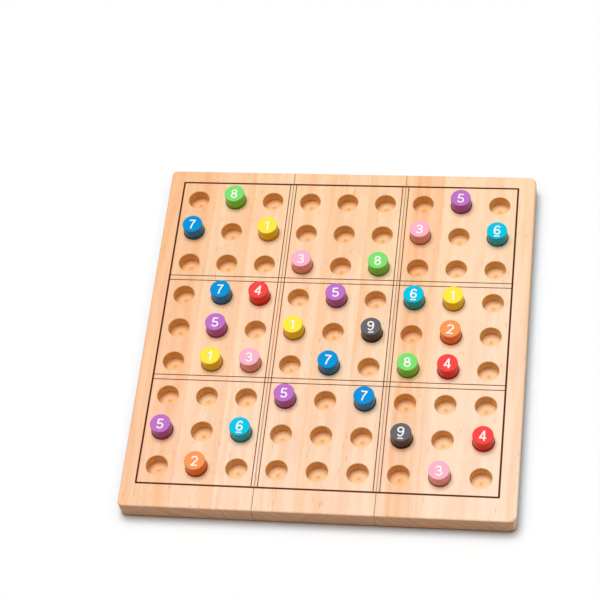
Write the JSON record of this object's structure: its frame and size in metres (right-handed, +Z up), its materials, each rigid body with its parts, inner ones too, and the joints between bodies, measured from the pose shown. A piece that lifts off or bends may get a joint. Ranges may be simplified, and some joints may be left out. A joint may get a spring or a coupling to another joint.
{
  "type": "sudoku board",
  "caption": "Wooden sudoku board of three drilled slats that magnets hold edge to edge, with painted number pegs that lift out of their holes.",
  "frame": {"origin": "under the middle of the board, on the surface that it lies on", "axes": "+X right along the rows, +Y towards the far edge and row 1, +Z up out of the holes"},
  "size_m": [0.1756, 0.1816, 0.0156],
  "materials": {
    "pine": "satin",
    "nickel": "gloss",
    "yellow_paint": "satin",
    "orange_paint": "satin",
    "pink_paint": "satin",
    "red_paint": "satin",
    "purple_paint": "satin",
    "teal_paint": "satin",
    "blue_paint": "satin",
    "green_paint": "satin",
    "grey_paint": "satin"
  },
  "bodies": {
    "centre_slat": {"centre_slat": "pine", "centre_slat_left_magnet_near": "nickel", "centre_slat_left_magnet_far": "nickel", "centre_slat_right_magnet_near": "nickel", "centre_slat_right_magnet_far": "nickel"},
    "left_slat": {"left_slat": "pine", "left_slat_magnet_near": "nickel", "left_slat_magnet_far": "nickel"},
    "right_slat": {"right_slat": "pine", "right_slat_magnet_near": "nickel", "right_slat_magnet_far": "nickel"},
    "peg_8_row1_col2": {"peg_8_row1_col2": "green_paint"},
    "peg_5_row1_col8": {"peg_5_row1_col8": "purple_paint"},
    "peg_7_row2_col1": {"peg_7_row2_col1": "blue_paint"},
    "peg_1_row2_col3": {"peg_1_row2_col3": "yellow_paint"},
    "peg_3_row2_col7": {"peg_3_row2_col7": "pink_paint"},
    "peg_6_row2_col9": {"peg_6_row2_col9": "teal_paint"},
    "peg_3_row3_col4": {"peg_3_row3_col4": "pink_paint"},
    "peg_8_row3_col6": {"peg_8_row3_col6": "green_paint"},
    "peg_7_row4_col2": {"peg_7_row4_col2": "blue_paint"},
    "peg_4_row4_col3": {"peg_4_row4_col3": "red_paint"},
    "peg_5_row4_col5": {"peg_5_row4_col5": "purple_paint"},
    "peg_6_row4_col7": {"peg_6_row4_col7": "teal_paint"},
    "peg_1_row4_col8": {"peg_1_row4_col8": "yellow_paint"},
    "peg_5_row5_col2": {"peg_5_row5_col2": "purple_paint"},
    "peg_1_row5_col4": {"peg_1_row5_col4": "yellow_paint"},
    "peg_9_row5_col6": {"peg_9_row5_col6": "grey_paint"},
    "peg_2_row5_col8": {"peg_2_row5_col8": "orange_paint"},
    "peg_1_row6_col2": {"peg_1_row6_col2": "yellow_paint"},
    "peg_3_row6_col3": {"peg_3_row6_col3": "pink_paint"},
    "peg_7_row6_col5": {"peg_7_row6_col5": "blue_paint"},
    "peg_8_row6_col7": {"peg_8_row6_col7": "green_paint"},
    "peg_4_row6_col8": {"peg_4_row6_col8": "red_paint"},
    "peg_5_row7_col4": {"peg_5_row7_col4": "purple_paint"},
    "peg_7_row7_col6": {"peg_7_row7_col6": "blue_paint"},
    "peg_5_row8_col1": {"peg_5_row8_col1": "purple_paint"},
    "peg_6_row8_col3": {"peg_6_row8_col3": "teal_paint"},
    "peg_9_row8_col7": {"peg_9_row8_col7": "grey_paint"},
    "peg_4_row8_col9": {"peg_4_row8_col9": "red_paint"},
    "peg_2_row9_col2": {"peg_2_row9_col2": "orange_paint"},
    "peg_3_row9_col8": {"peg_3_row9_col8": "pink_paint"}
  },
  "joints": [
    {"name": "left_slat_pull", "type": "slide", "parent": "centre_slat", "child": "left_slat", "axis": [-1, 0, 0], "range_m": [0, 0.04]},
    {"name": "right_slat_pull", "type": "slide", "parent": "centre_slat", "child": "right_slat", "axis": [1, 0, 0], "range_m": [0, 0.04]},
    {"name": "peg_8_row1_col2_lift", "type": "slide", "parent": "left_slat", "child": "peg_8_row1_col2", "axis": [0, 0, 1], "range_m": [0, 0.015]},
    {"name": "peg_5_row1_col8_lift", "type": "slide", "parent": "right_slat", "child": "peg_5_row1_col8", "axis": [0, 0, 1], "range_m": [0, 0.015]},
    {"name": "peg_7_row2_col1_lift", "type": "slide", "parent": "left_slat", "child": "peg_7_row2_col1", "axis": [0, 0, 1], "range_m": [0, 0.015]},
    {"name": "peg_1_row2_col3_lift", "type": "slide", "parent": "left_slat", "child": "peg_1_row2_col3", "axis": [0, 0, 1], "range_m": [0, 0.015]},
    {"name": "peg_3_row2_col7_lift", "type": "slide", "parent": "right_slat", "child": "peg_3_row2_col7", "axis": [0, 0, 1], "range_m": [0, 0.015]},
    {"name": "peg_6_row2_col9_lift", "type": "slide", "parent": "right_slat", "child": "peg_6_row2_col9", "axis": [0, 0, 1], "range_m": [0, 0.015]},
    {"name": "peg_3_row3_col4_lift", "type": "slide", "parent": "centre_slat", "child": "peg_3_row3_col4", "axis": [0, 0, 1], "range_m": [0, 0.015]},
    {"name": "peg_8_row3_col6_lift", "type": "slide", "parent": "centre_slat", "child": "peg_8_row3_col6", "axis": [0, 0, 1], "range_m": [0, 0.015]},
    {"name": "peg_7_row4_col2_lift", "type": "slide", "parent": "left_slat", "child": "peg_7_row4_col2", "axis": [0, 0, 1], "range_m": [0, 0.015]},
    {"name": "peg_4_row4_col3_lift", "type": "slide", "parent": "left_slat", "child": "peg_4_row4_col3", "axis": [0, 0, 1], "range_m": [0, 0.015]},
    {"name": "peg_5_row4_col5_lift", "type": "slide", "parent": "centre_slat", "child": "peg_5_row4_col5", "axis": [0, 0, 1], "range_m": [0, 0.015]},
    {"name": "peg_6_row4_col7_lift", "type": "slide", "parent": "right_slat", "child": "peg_6_row4_col7", "axis": [0, 0, 1], "range_m": [0, 0.015]},
    {"name": "peg_1_row4_col8_lift", "type": "slide", "parent": "right_slat", "child": "peg_1_row4_col8", "axis": [0, 0, 1], "range_m": [0, 0.015]},
    {"name": "peg_5_row5_col2_lift", "type": "slide", "parent": "left_slat", "child": "peg_5_row5_col2", "axis": [0, 0, 1], "range_m": [0, 0.015]},
    {"name": "peg_1_row5_col4_lift", "type": "slide", "parent": "centre_slat", "child": "peg_1_row5_col4", "axis": [0, 0, 1], "range_m": [0, 0.015]},
    {"name": "peg_9_row5_col6_lift", "type": "slide", "parent": "centre_slat", "child": "peg_9_row5_col6", "axis": [0, 0, 1], "range_m": [0, 0.015]},
    {"name": "peg_2_row5_col8_lift", "type": "slide", "parent": "right_slat", "child": "peg_2_row5_col8", "axis": [0, 0, 1], "range_m": [0, 0.015]},
    {"name": "peg_1_row6_col2_lift", "type": "slide", "parent": "left_slat", "child": "peg_1_row6_col2", "axis": [0, 0, 1], "range_m": [0, 0.015]},
    {"name": "peg_3_row6_col3_lift", "type": "slide", "parent": "left_slat", "child": "peg_3_row6_col3", "axis": [0, 0, 1], "range_m": [0, 0.015]},
    {"name": "peg_7_row6_col5_lift", "type": "slide", "parent": "centre_slat", "child": "peg_7_row6_col5", "axis": [0, 0, 1], "range_m": [0, 0.015]},
    {"name": "peg_8_row6_col7_lift", "type": "slide", "parent": "right_slat", "child": "peg_8_row6_col7", "axis": [0, 0, 1], "range_m": [0, 0.015]},
    {"name": "peg_4_row6_col8_lift", "type": "slide", "parent": "right_slat", "child": "peg_4_row6_col8", "axis": [0, 0, 1], "range_m": [0, 0.015]},
    {"name": "peg_5_row7_col4_lift", "type": "slide", "parent": "centre_slat", "child": "peg_5_row7_col4", "axis": [0, 0, 1], "range_m": [0, 0.015]},
    {"name": "peg_7_row7_col6_lift", "type": "slide", "parent": "centre_slat", "child": "peg_7_row7_col6", "axis": [0, 0, 1], "range_m": [0, 0.015]},
    {"name": "peg_5_row8_col1_lift", "type": "slide", "parent": "left_slat", "child": "peg_5_row8_col1", "axis": [0, 0, 1], "range_m": [0, 0.015]},
    {"name": "peg_6_row8_col3_lift", "type": "slide", "parent": "left_slat", "child": "peg_6_row8_col3", "axis": [0, 0, 1], "range_m": [0, 0.015]},
    {"name": "peg_9_row8_col7_lift", "type": "slide", "parent": "right_slat", "child": "peg_9_row8_col7", "axis": [0, 0, 1], "range_m": [0, 0.015]},
    {"name": "peg_4_row8_col9_lift", "type": "slide", "parent": "right_slat", "child": "peg_4_row8_col9", "axis": [0, 0, 1], "range_m": [0, 0.015]},
    {"name": "peg_2_row9_col2_lift", "type": "slide", "parent": "left_slat", "child": "peg_2_row9_col2", "axis": [0, 0, 1], "range_m": [0, 0.015]},
    {"name": "peg_3_row9_col8_lift", "type": "slide", "parent": "right_slat", "child": "peg_3_row9_col8", "axis": [0, 0, 1], "range_m": [0, 0.015]}
  ]
}
